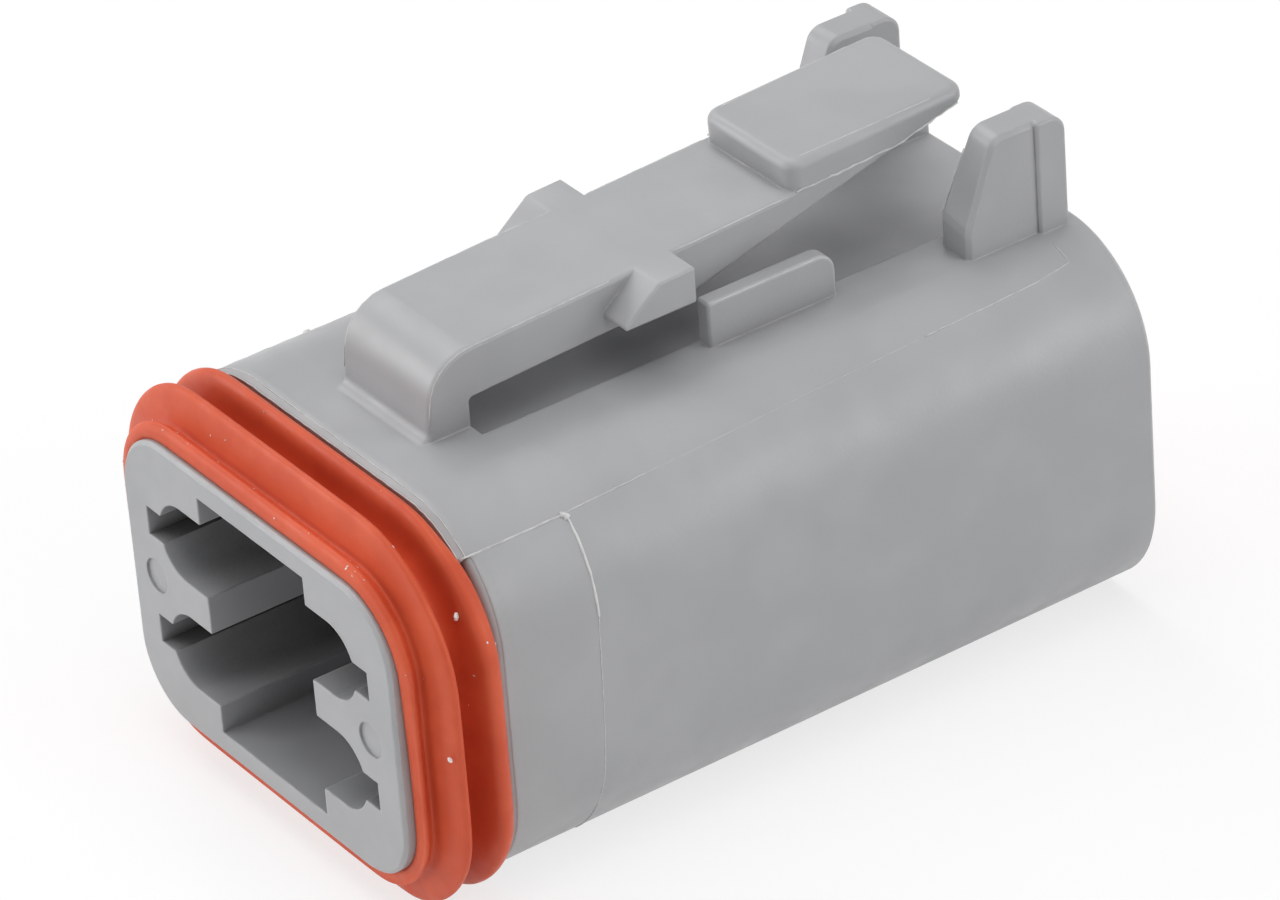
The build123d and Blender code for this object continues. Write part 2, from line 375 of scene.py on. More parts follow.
class Finish:
    """What a material is made from."""

    def build(self, name: str) -> Material:
        """Makes the material.

        Args:
            name: Name of the material.

        Returns:
            The material.
        """
        graph = ShaderGraph(name)
        self.paint(graph)
        return graph.material

    def paint(self, graph: ShaderGraph) -> None:
        """Adds the finish to a new material's nodes."""
        raise NotImplementedError


@dataclass(frozen=True)
class MouldedPlastic(Finish):
    """Grey moulded plastic with the fine grain of an eroded mould, a painted highlight that makes
    its edges paler in patches, and painted shade in its deep recesses.

    Attributes:
        seam: Y of the latch's root, where two solids of one moulding meet.
        seam_clear: Distances from it at which edges begin to be rounded and are fully so.
        colour: Linear base colour.
        patch: Width of the patches.
        shade: Factor of the darker ones.
        edge_highlight: Colour factor of the painted highlight on the edges.
        highlight_spot: Width of the patches of that painted highlight.
        highlight_share: Least and most of that painted highlight on an edge.
        painted_shade: Colour of the painted shade in deep recesses.
        recess: Depth of a recess that gets painted shade.
        shade_openness: Openness at which the painted shade begins and where it is full.
        roughness: Lowest and highest roughness.
        sheen: Width of the duller spots.
        grain: Width of the mould's grain.
        grain_depth: Depth of that grain.
        edge: Radius of the edges.
        smooth_until: Y behind which the grain is full; in front of it the mould was polished.
        polished: Strength of the grain in front.
        fade: Half of the length over which the grain changes.
    """

    seam: float
    seam_clear: Pair = (0.25 * MM, 0.6 * MM)
    colour: Colour = (0.39, 0.395, 0.405)
    patch: float = 4 * MM
    shade: float = 0.94
    edge_highlight: float = 1.5
    highlight_spot: float = 0.9 * MM
    highlight_share: Pair = (0.25, 0.9)
    painted_shade: Colour = (0.055, 0.052, 0.046)
    recess: float = 7 * MM
    shade_openness: Pair = (0.52, 0.12)
    roughness: Pair = (0.35, 0.47)
    sheen: float = 1.2 * MM
    grain: float = 0.16 * MM
    grain_depth: float = 0.007 * MM
    edge: float = 0.15 * MM
    smooth_until: float = -9.8 * MM
    polished: float = 0.35
    fade: float = 0.15 * MM

    def paint(self, graph: ShaderGraph) -> None:
        """Adds the finish to a new material's nodes."""
        along = graph.add("SeparateXYZ", Vector=graph.place).outputs["Y"]
        from_seam = graph.math("ABSOLUTE", graph.math("SUBTRACT", along, self.seam))
        keep = graph.band(from_seam, *self.seam_clear, 0, 1)
        rounded, rim = graph.soft_edges(self.edge, keep)
        patches = graph.band(graph.noise(self.patch), *PATCHY, 0, 1)
        colour = graph.mix(patches, opaque(scaled(self.colour, self.shade)), opaque(self.colour))
        # Painted highlight: edges made paler in patches, as where light catches them.
        spots = graph.band(graph.noise(self.highlight_spot, 3), *PATCHY, *self.highlight_share)
        highlighted = graph.math("MULTIPLY", rim, spots)
        colour = graph.mix(highlighted, colour, opaque(scaled(self.colour, self.edge_highlight)))
        # Painted shade: colour darkened in deep recesses, where shade falls.
        near = {"samples": 4, "only_local": True}
        opening = graph.add("AmbientOcclusion", near, Distance=self.recess)
        shaded = graph.band(opening.outputs["AO"], *self.shade_openness, 0, 1)
        colour = graph.mix(shaded, colour, opaque(self.painted_shade))
        sheen = graph.band(graph.noise(self.sheen, 4), *CLOUDY, *self.roughness)
        start, end = self.smooth_until - self.fade, self.smooth_until + self.fade
        strength = graph.band(along, start, end, self.polished, 1)
        grain = graph.math("MULTIPLY", graph.noise(self.grain, 3), strength)
        normal = graph.height(grain, self.grain_depth, rounded)
        graph.fill(graph.shader, Base_Color=colour, Roughness=sheen, Normal=normal)


@dataclass(frozen=True)
class Silicone(Finish):
    """Glossy orange-red silicone, a little translucent.

    Attributes:
        colour: Linear base colour.
        deep: Colour of the denser patches.
        roughness: Lowest and highest roughness.
        glow: Share of light that passes under the surface.
        glow_depth: How far it goes there, for each colour, in metres.
        gloss: Strength of its mirror gloss, where 0.5 is usual.
        patch: Width of the patches.
        sheen: Width of the duller spots.
        wave: Width and height of the waves in its skin.
        grain: Width and height of its fine grain.
    """

    colour: Colour = (0.65, 0.106, 0.044)
    deep: Colour = (0.59, 0.086, 0.035)
    roughness: Pair = (0.4, 0.52)
    glow: float = 0.1
    glow_depth: Point = (0.6 * MM, 0.18 * MM, 0.08 * MM)
    gloss: float = 0.25
    patch: float = 2.5 * MM
    sheen: float = 0.8 * MM
    wave: Pair = (1.5 * MM, 0.012 * MM)
    grain: Pair = (0.2 * MM, 0.0015 * MM)

    def paint(self, graph: ShaderGraph) -> None:
        """Adds the finish to a new material's nodes."""
        patches = graph.band(graph.noise(self.patch, 3), *PATCHY, 0, 1)
        colour = graph.mix(patches, opaque(self.deep), opaque(self.colour))
        sheen = graph.band(graph.noise(self.sheen), *CLOUDY, *self.roughness)
        normal = None
        for width, height in (self.wave, self.grain):
            normal = graph.height(graph.noise(width), height, normal)
        graph.fill(
            graph.shader, Base_Color=colour, Roughness=sheen, Normal=normal,
            Subsurface_Weight=self.glow, Subsurface_Radius=self.glow_depth, Subsurface_Scale=1.0,
            Specular_IOR_Level=self.gloss,
        )


@dataclass(frozen=True)
class PaleScrap(Finish):
    """Thin scraps of plastic, paler than the moulding, as at a parting line, and pale lines that
    paint highlights on some edges.

    Attributes:
        colour: Linear base colour.
        shade: Factor of the darker patches.
        roughness: Roughness all over.
        spot: Width of the darker patches.
        spread: Range of the noise over which they blend.
    """

    colour: Colour
    shade: float = 0.8
    roughness: float = 0.45
    spot: float = 0.4 * MM
    spread: Pair = (0.35, 0.6)

    def paint(self, graph: ShaderGraph) -> None:
        """Adds the finish to a new material's nodes."""
        worn = graph.band(graph.noise(self.spot), *self.spread, 0, 1)
        dull = opaque(scaled(self.colour, self.shade))
        colour = graph.mix(worn, dull, opaque(self.colour))
        graph.fill(graph.shader, Base_Color=colour, Roughness=self.roughness)


@dataclass(frozen=True)
class StudioFloor(Finish):
    """White floor that the camera and gloss see as white and that still takes the part's shadow.

    Attributes:
        colour: Albedo, which lights the part from below.
        seen: Albedo of what the camera sees.
        lift: Light added to what the camera sees.
    """

    colour: Colour = (0.92, 0.92, 0.92)
    seen: Colour = (0.3, 0.3, 0.3)
    lift: float = 0.72

    def paint(self, graph: ShaderGraph) -> None:
        """Adds the finish to a new material's nodes."""
        graph.nodes.remove(graph.shader)
        paint = graph.add("BsdfDiffuse", Color=opaque(self.colour))
        shown = graph.add("BsdfDiffuse", Color=opaque(self.seen))
        white = graph.add("Emission", Color=opaque((1, 1, 1)), Strength=self.lift)
        lit = graph.add("AddShader")
        graph.links.new(shown.outputs["BSDF"], lit.inputs[0])
        graph.links.new(white.outputs["Emission"], lit.inputs[1])
        choice = graph.add("MixShader", Fac=sight(graph.material.node_tree))
        graph.links.new(paint.outputs["BSDF"], choice.inputs[1])
        graph.links.new(lit.outputs["Shader"], choice.inputs[2])
        graph.links.new(choice.outputs["Shader"], graph.output.inputs["Surface"])


class Shape:
    """A piece's mesh while it is being modelled."""

    def __init__(self) -> None:
        """Starts an empty mesh."""
        self.mesh = bmesh.new()

    @classmethod
    def copy_of(cls, solid: Piece) -> "Shape":
        """Starts from a solid's mesh, with its loose triangles joined.

        Args:
            solid: A node of the frame.

        Returns:
            The new shape.
        """
        shape = cls()
        shape.mesh.from_mesh(solid.data)
        bmesh.ops.remove_doubles(shape.mesh, verts=shape.mesh.verts, dist=MERGE)
        return shape

    @property
    def everything(self) -> list:
        """All vertices, edges and faces."""
        return self.mesh.verts[:] + self.mesh.edges[:] + self.mesh.faces[:]

    def join_flat(self, within: float = 0.5) -> None:
        """Joins the triangles of each flat face.

        Args:
            within: Largest angle between two of them, in degrees.
        """
        limit = math.radians(within)
        bmesh.ops.dissolve_limit(
            self.mesh, angle_limit=limit, verts=self.mesh.verts, edges=self.mesh.edges
        )

    def mirror(self) -> None:
        """Adds the mirrored half on the left and joins both."""
        bmesh.ops.mirror(self.mesh, geom=self.everything, axis="X", merge_dist=MERGE)
        bmesh.ops.remove_doubles(self.mesh, verts=self.mesh.verts, dist=MERGE)

    def close(self) -> None:
        """Joins double points, fills open ends and turns all faces outwards."""
        bmesh.ops.remove_doubles(self.mesh, verts=self.mesh.verts, dist=MERGE)
        rims = [edge for edge in self.mesh.edges if edge.is_boundary]
        bmesh.ops.holes_fill(self.mesh, edges=rims, sides=0)
        bmesh.ops.recalc_face_normals(self.mesh, faces=self.mesh.faces)

    def finish(self, name: str, material: Material, sharp: float | None = 35.0) -> Piece:
        """Turns the mesh into an object.

        Args:
            name: Name of the piece.
            material: Its finish.
            sharp: Angle in degrees over which an edge stays sharp, or None to smooth them all.

        Returns:
            The new object, at the origin.
        """
        for face in self.mesh.faces:
            face.smooth = True
        if sharp is not None:
            for edge in self.mesh.edges:
                edge.smooth = edge.calc_face_angle(0.0) < math.radians(sharp)
        data = bpy.data.meshes.new(name)
        self.mesh.to_mesh(data)
        self.mesh.free()
        data.materials.append(material)
        piece = bpy.data.objects.new(name, data)
        bpy.context.scene.collection.objects.link(piece)
        LOG.info("piece %s: %d faces", name, len(data.polygons))
        return piece


class Sweep:
    """A closed section that leaves a skin behind it as it is drawn along a path."""

    def __init__(self, shape: Shape, points: Sequence[Vector]) -> None:
        """Draws the section into a shape's mesh."""
        self.mesh = shape.mesh
        corners = [self.mesh.verts.new(point) for point in points]
        self.edges = [self.mesh.edges.new(pair) for pair in zip(corners, corners[1:] + corners[:1])]

    def push(self, way: Point, parts: int = 1) -> None:
        """Draws the section along a straight run.

        Args:
            way: The run, in metres.
            parts: Number of equal parts.
        """
        for _ in range(parts):
            grown = bmesh.ops.extrude_edge_only(self.mesh, edges=self.edges)["geom"]
            moved = [item for item in grown if isinstance(item, bmesh.types.BMVert)]
            bmesh.ops.translate(self.mesh, verts=moved, vec=Vector(way) / parts)
            self.edges = [item for item in grown if isinstance(item, bmesh.types.BMEdge)]

    def turn(self, centre: Point, degrees: float, steps: int) -> None:
        """Draws the section round a corner, about the lengthwise axis.

        Args:
            centre: Centre of the corner.
            degrees: How far it turns.
            steps: Number of steps.
        """
        spun = bmesh.ops.spin(
            self.mesh, geom=self.edges, cent=centre, axis=(0, 1, 0), dvec=(0, 0, 0),
            angle=math.radians(degrees), steps=steps, use_merge=False,
        )
        self.edges = [item for item in spun["geom_last"] if isinstance(item, bmesh.types.BMEdge)]


@dataclass(frozen=True)
class FlashLine:
    """A thin uneven pale ridge along a line, for flash and, on some edges, for a painted highlight.

    Attributes:
        radius: Radius of the ridge.
        step: Distance between its uneven sections.
        wander: Furthest that a section strays from the line.
        swell: Furthest that a section's size differs from the radius, as a share.
        sides: Number of a section's sides.
    """

    radius: float = 0.032 * MM
    step: float = 0.35 * MM
    wander: float = 0.012 * MM
    swell: float = 0.15
    sides: int = 6

    def sections(self, corners: Sequence[Vector], dice: random.Random) -> list[Vector]:
        """Evenly spaced points along a line, each a little off it.

        Args:
            corners: Corners of the line.
            dice: Source of the unevenness.

        Returns:
            The points.
        """
        points = [corners[0]]
        for start, end in zip(corners, corners[1:]):
            count = max(1, round((end - start).length / self.step))
            for index in range(1, count + 1):
                stray = Vector([dice.uniform(-1, 1) for _ in range(3)]) * self.wander
                points.append(start.lerp(end, index / count) + stray)
        return points

    def sweep(self, shape: Shape, corners: Sequence[Vector], seed: int) -> None:
        """Adds one ridge to a mesh.

        Args:
            shape: The mesh that it goes into.
            corners: Corners of its line.
            seed: Seed of its unevenness.
        """
        dice = random.Random(seed)
        points = self.sections(corners, dice)
        way = points[1] - points[0]
        start = Matrix.Translation(points[0]) @ way.to_track_quat("Z", "Y").to_matrix().to_4x4()
        ring = bmesh.ops.create_circle(
            shape.mesh, cap_ends=True, segments=self.sides, radius=self.radius, matrix=start
        )
        face = ring["verts"][0].link_faces[0]
        size = 1.0
        for index, (before, after) in enumerate(zip(points, points[1:])):
            grown = bmesh.ops.extrude_face_region(shape.mesh, geom=[face])
            if index:
                shape.mesh.faces.remove(face)
            face = next(item for item in grown["geom"] if isinstance(item, bmesh.types.BMFace))
            bmesh.ops.translate(shape.mesh, verts=face.verts, vec=after - before)
            wanted = 1 + dice.uniform(-self.swell, self.swell)
            change = wanted / size
            size = wanted
            ahead = points[min(index + 2, len(points) - 1)] - before
            turn = way.rotation_difference(ahead).to_matrix()
            way = ahead
            centre = Matrix.Translation(-face.calc_center_median())
            bmesh.ops.rotate(shape.mesh, verts=face.verts, matrix=turn, space=centre)
            bmesh.ops.scale(shape.mesh, verts=face.verts, vec=(change, change, change), space=centre)

    def build(self, name: str, lines: Sequence[Sequence[Vector]], material: Material,
              body: Body | None) -> Piece:
        """Makes one piece of several ridges.

        Args:
            name: Name of the piece.
            lines: Corners of each ridge's line.
            material: The piece's finish.
            body: What it rides on, or None to leave it unattached.

        Returns:
            The piece.
        """
        shape = Shape()
        for seed, corners in enumerate(lines):
            self.sweep(shape, corners, seed)
        bmesh.ops.recalc_face_normals(shape.mesh, faces=shape.mesh.faces)
        piece = shape.finish(name, material, sharp=None)
        if body is not None:
            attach(piece, body.value)
        return piece


@dataclass
class Shell:
    """The moulded housing: its finish, the rim over its front edge, its flash, and pale lines along
    some edges that are partly flash and partly painted highlight.

    Attributes:
        layout: Places of the frame.
        solid: The housing's solid.
        finish: Material of the moulding.
        flash: Material of the flash and of the pale lines painted as highlights along edges.
        bright: Material of the heavier flash.
        half_width: Half of the body's width.
        corner: Radius of its long edges.
        rim: Section of the upper mould half's rim: distance behind the nose face and height
            over the body's top, in millimetres.
        side_rim: Section of the rounded front edge below that rim, in the same way.
        rim_angle: Angle over the horizontal at which the two meet on the long edges, in degrees.
        rim_turns: Further angles of the line round the upper rim's edge, up to the top.
        rim_edges: How far that line's front and rear stretches lie behind the nose face, in
            millimetres.
        rim_drop: How far its front stretch lies below the body's surface.
        ear_edge: Inner front edge of an ear: across, behind the nose face and over the body's
            top, in millimetres.
        fin_edge: Outer upper edge of a guard fin, in the same way.
        bend_edge: Outer edge of the bend in the latch's anchor, in the same way.
        line_ahead: Front stretch of the line along a long edge: distance behind the nose face in
            millimetres and angle over the horizontal in degrees.
        line_between: Its faint middle stretch, in the same way.
        line_behind: Its rear stretch and the hook beside an ear, in the same way.
        rim_line: Line from the front rim back to the knot, in the same way.
        heavy_line: Heavier line from the knot down to the body's flat side, in the same way.
        knot: Lump where these lines meet, in the same way.
        side_line: Finer line on down the flat side: distance behind the nose face and height,
            in millimetres.
        low_line: Its end round the lower long edge, as the lines above, with the angle below
            the horizontal.
    """

    layout: Layout
    solid: Piece
    finish: Material
    flash: Material
    bright: Material
    half_width: float = 11.2 * MM
    corner: float = 5.4 * MM
    rim: tuple[Pair, ...] = (
        (4.13, -0.5), (4.13, -0.14), (4.18, -0.08), (4.4, -0.03), (4.46, 0.004), (4.8, 0.003),
        (5.3, -0.01), (5.3, -0.5),
    )
    side_rim: tuple[Pair, ...] = (
        (4.4, -0.6), (4.4, -0.34), (4.43, -0.22), (4.5, -0.13), (4.62, -0.06), (4.8, -0.02),
        (5.05, -0.001), (5.4, 0.003), (5.9, -0.01), (5.9, -0.6),
    )
    rim_angle: float = 49.0
    rim_turns: tuple[float, ...] = (56, 63, 70, 77, 84, 90)
    rim_edges: Pair = (4.14, 4.47)
    rim_drop: float = 0.1 * MM
    ear_edge: tuple[Point, ...] = ((4.83, 32.13, 0.1), (4.83, 32.13, 1.68), (4.83, 33.42, 4.3))
    fin_edge: tuple[Point, ...] = (
        (4.8, 20.1, 2.06), (4.8, 25.6, 2.06), (4.8, 25.94, 1.99), (4.8, 26.2, 1.82), (4.8, 26.37, 1.56),
        (4.8, 26.44, 1.22), (4.8, 26.44, 0.05),
    )
    bend_edge: tuple[Point, ...] = (
        (3.1, 7.17, 0.8), (3.1, 7.27, 1.63), (3.1, 7.35, 2.04), (3.1, 7.56, 2.55), (3.1, 7.9, 2.99),
        (3.1, 8.34, 3.33), (3.1, 8.85, 3.54), (3.1, 9.32, 3.615), (3.1, 9.58, 3.626),
    )
    line_ahead: tuple[Pair, ...] = ((9.35, 49.0), (9.6, 49.4), (13.5, 50.9))
    line_between: tuple[Pair, ...] = ((13.5, 50.9), (21.4, 53.9), (28.0, 56.3))
    line_behind: tuple[Pair, ...] = (
        (28.0, 56.3), (34.0, 58.4), (35.95, 61.0), (35.95, 64.0), (35.95, 67.0), (35.95, 70.0),
        (35.95, 73.0),
    )
    rim_line: tuple[Pair, ...] = ((4.16, 48.9), (6.8, 48.9), (9.3, 48.9))
    heavy_line: tuple[Pair, ...] = tuple((9.35, 49 - 3.5 * index) for index in range(15))
    knot: tuple[Pair, ...] = ((9.12, 49.2), (9.28, 48.6), (9.36, 46.6))
    side_line: tuple[Pair, ...] = ((9.25, 8.0), (9.1, 5.4))
    low_line: tuple[Pair, ...] = tuple((9.1 - 0.03 * index, 4 * index) for index in range(1, 14))

    def on_corner(self, distance: float, angle: float, side: int) -> Vector:
        """Point on one of the body's upper long edges.

        Args:
            distance: Distance behind the nose face, in millimetres.
            angle: Angle over the horizontal, in degrees.
            side: 1 on the right and -1 on the left.

        Returns:
            The point.
        """
        turn = math.radians(angle)
        across = self.half_width - self.corner + self.corner * math.cos(turn)
        up = self.layout.body_top - self.corner + self.corner * math.sin(turn)
        return Vector((side * across, self.layout.front + distance * MM, up))

    def lengthwise(self, places: Sequence[Pair], side: int) -> list[Vector]:
        """Corners of a stretch of the line along one upper long edge.

        Args:
            places: Distance behind the nose face in millimetres and angle over the horizontal in
                degrees of each corner.
            side: 1 on the right and -1 on the left.

        Returns:
            The points.
        """
        return [self.on_corner(distance, angle, side) for distance, angle in places]

    def both(self, places: Sequence[Pair]) -> list[list[Vector]]:
        """A stretch along the left long edge and its mirror image along the right one."""
        return [self.lengthwise(places, side) for side in SIDES]

    def around(self, side: int) -> list[Vector]:
        """Corners of the finer line down one side of the body and round its lower long edge.

        Args:
            side: 1 on the right and -1 on the left.

        Returns:
            The points, from the top down.
        """
        across = side * self.half_width
        down = self.lengthwise(self.heavy_line[-1:], side)
        for back, up in self.side_line:
            down.append(Vector((across, self.layout.front + back * MM, up * MM)))
        bend = self.lengthwise(self.low_line, side)
        for point in bend:
            point.z = self.layout.body_top - point.z
        return down + bend

    def round_rim(self) -> list[Vector]:
        """Corners of the closed line round the edge of the upper mould half's rim."""
        lowered = Vector((0, 0, -self.rim_drop))
        ahead, behind = self.rim_edges
        turns = (self.rim_angle, *self.rim_turns)
        front = [self.on_corner(ahead, angle, 1) + lowered for angle in turns]
        front += [self.on_corner(ahead, angle, -1) + lowered for angle in reversed(turns)]
        rear = [self.on_corner(behind, angle, -1) for angle in turns]
        rear += [self.on_corner(behind, angle, 1) for angle in reversed(turns)]
        return front + rear + front[:1]

    def front_rim(self) -> None:
        """Draws the upper mould half's rim over the top of the body's front edge."""
        shape = Shape()
        run = self.half_width - self.corner
        section = Sweep(shape, [self.layout.over_top(0, back, up) for back, up in self.rim])
        section.push((run, 0, 0), parts=2)
        section.turn((run, 0, self.layout.body_top - self.corner), 90 - self.rim_angle, steps=10)
        self.add_rim("front_rim", shape)

    def rounded_rim(self) -> None:
        """Draws the rounded front edge from the upper rim's end round the side to the bottom."""
        shape = Shape()
        run = self.half_width - self.corner
        rise = self.layout.body_top - self.corner
        start = [self.layout.over_top(0, back, up) for back, up in self.side_rim]
        turn = Matrix.Rotation(math.radians(90 - self.rim_angle), 4, "Y")
        upper = Vector((0, 0, rise))
        beside = [turn @ (point - upper) + upper + Vector((run, 0, 0)) for point in start]
        section = Sweep(shape, beside)
        section.turn((run, 0, rise), self.rim_angle, steps=10)
        section.push((0, 0, self.corner - rise), parts=3)
        section.turn((run, 0, self.corner), 90, steps=16)
        section.push((-run, 0, 0), parts=2)
        self.add_rim("rounded_rim", shape)

    def add_rim(self, name: str, shape: Shape) -> None:
        """Mirrors half of a rim and adds it to the shell.

        Args:
            name: Name of the piece.
            shape: Its right half.
        """
        shape.mirror()
        for vertex in shape.mesh.verts:
            vertex.co.z = max(vertex.co.z, 0.0)
        shape.close()
        piece = shape.finish(name, self.finish)
        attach(piece, Body.SHELL.value)

    def build(self) -> None:
        """Dresses the housing and adds its rim, its flash and pale edge lines, partly painted
        highlight.
        """
        self.solid.data.materials.clear()
        self.solid.data.materials.append(self.finish)
        LOG.info("solid %s dressed", self.solid.name)
        self.front_rim()
        self.rounded_rim()
        lines = [self.round_rim()]
        for side in SIDES:
            lines += [self.lengthwise(self.line_ahead, side), self.lengthwise(self.line_behind, side)]
            lines.append(self.around(side))
        # Pale lines on the ear, fin and anchor-bend edges: partly flash, partly painted highlight.
        edges = [line for edge in (self.ear_edge, self.fin_edge, self.bend_edge)
                 for line in self.layout.both_sides(edge)]
        plain = FlashLine(radius=0.028 * MM)
        faint = FlashLine(radius=0.013 * MM, wander=0.004 * MM)
        even = FlashLine(radius=0.05 * MM, step=0.3 * MM, wander=0.014 * MM, swell=0.22)
        coarse = FlashLine(radius=0.06 * MM, step=0.3 * MM, wander=0.014 * MM, swell=0.22)
        lump = FlashLine(radius=0.15 * MM, step=0.12 * MM, swell=0.2)
        fine = FlashLine(radius=0.026 * MM, wander=0.006 * MM)
        plain.build("parting_lines", lines, self.flash, Body.SHELL)
        faint.build("faint_lines", self.both(self.line_between), self.flash, Body.SHELL)
        even.build("rim_flash", self.both(self.rim_line), self.flash, Body.SHELL)
        coarse.build("front_flash", self.both(self.heavy_line), self.bright, Body.SHELL)
        lump.build("flash_knots", self.both(self.knot), self.bright, Body.SHELL)
        fine.build("shell_edge_flash_and_highlight", edges, self.flash, Body.SHELL)


@dataclass
class Latch:
    """The latch arm's own skin, cut across at even steps near its root.

    Attributes:
        layout: Places of the frame.
        solid: The arm's solid.
        finish: Its material.
        flash: Material of the flash along the pad and of the painted highlights on its edges.
        bend: Length of the stretch near the root that is cut across.
        cuts: Number of cuts across it.
        pad_foot: Lower edge of the pad's right side: across, behind the nose face and over the
            body's top, in millimetres.
        pad_brow: Painted highlight on the upper edge of that side, in the same way.
        arm_edges: Painted highlights on the outer upper edges of the arm before and behind a wing,
            in the same way.
    """

    layout: Layout
    solid: Piece
    finish: Material
    flash: Material
    bend: float = 6.0 * MM
    cuts: int = 12
    pad_foot: tuple[Point, ...] = ((3.17, 26.0, 4.39), (3.17, 31.28, 4.61), (3.17, 34.4, 5.41))
    pad_brow: tuple[Point, ...] = ((2.76, 26.4, 5.74), (2.95, 33.2, 5.97))
    arm_edges: tuple[tuple[Point, ...], ...] = (
        ((3.1, 9.62, 3.628), (3.1, 16.4, 3.912)), ((3.1, 19.7, 4.05), (3.1, 25.6, 4.297)),
    )

    def skin(self) -> None:
        """Makes the skin, cut across near its root, bakes its transform and hides the arm's solid."""
        shape = Shape.copy_of(self.solid)
        for index in range(1, self.cuts + 1):
            place = self.layout.root + Vector((0, self.bend * index / self.cuts, 0))
            bmesh.ops.bisect_plane(
                shape.mesh, geom=shape.everything, dist=MERGE, plane_co=place, plane_no=(0, 1, 0)
            )
        piece = shape.finish("latch_skin", self.finish)
        self.bend_between(piece)
        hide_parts(Solid.LATCH_ARM.value)

    def bend_between(self, piece: Piece) -> None:
        """Bakes a piece's transform into its mesh."""
        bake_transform(piece)

    def build(self) -> None:
        """Makes the skin, the flash under the pad's long edges and painted highlights on the edges."""
        self.skin()
        ragged = FlashLine(radius=0.045 * MM, step=0.3 * MM, wander=0.03 * MM, swell=0.4)
        ragged.build("pad_flash", self.layout.both_sides(self.pad_foot), self.flash, Body.LATCH)
        # Pale lines along the pad's and arm's upper edges: painted highlights.
        fine = FlashLine(radius=0.028 * MM, step=0.5 * MM, wander=0.006 * MM)
        fine.build("pad_edge_highlight", self.layout.both_sides(self.pad_brow), self.flash, Body.LATCH)
        edges = [line for edge in self.arm_edges for line in self.layout.both_sides(edge)]
        self.bend_between(fine.build("arm_edge_highlight", edges, self.flash, None))


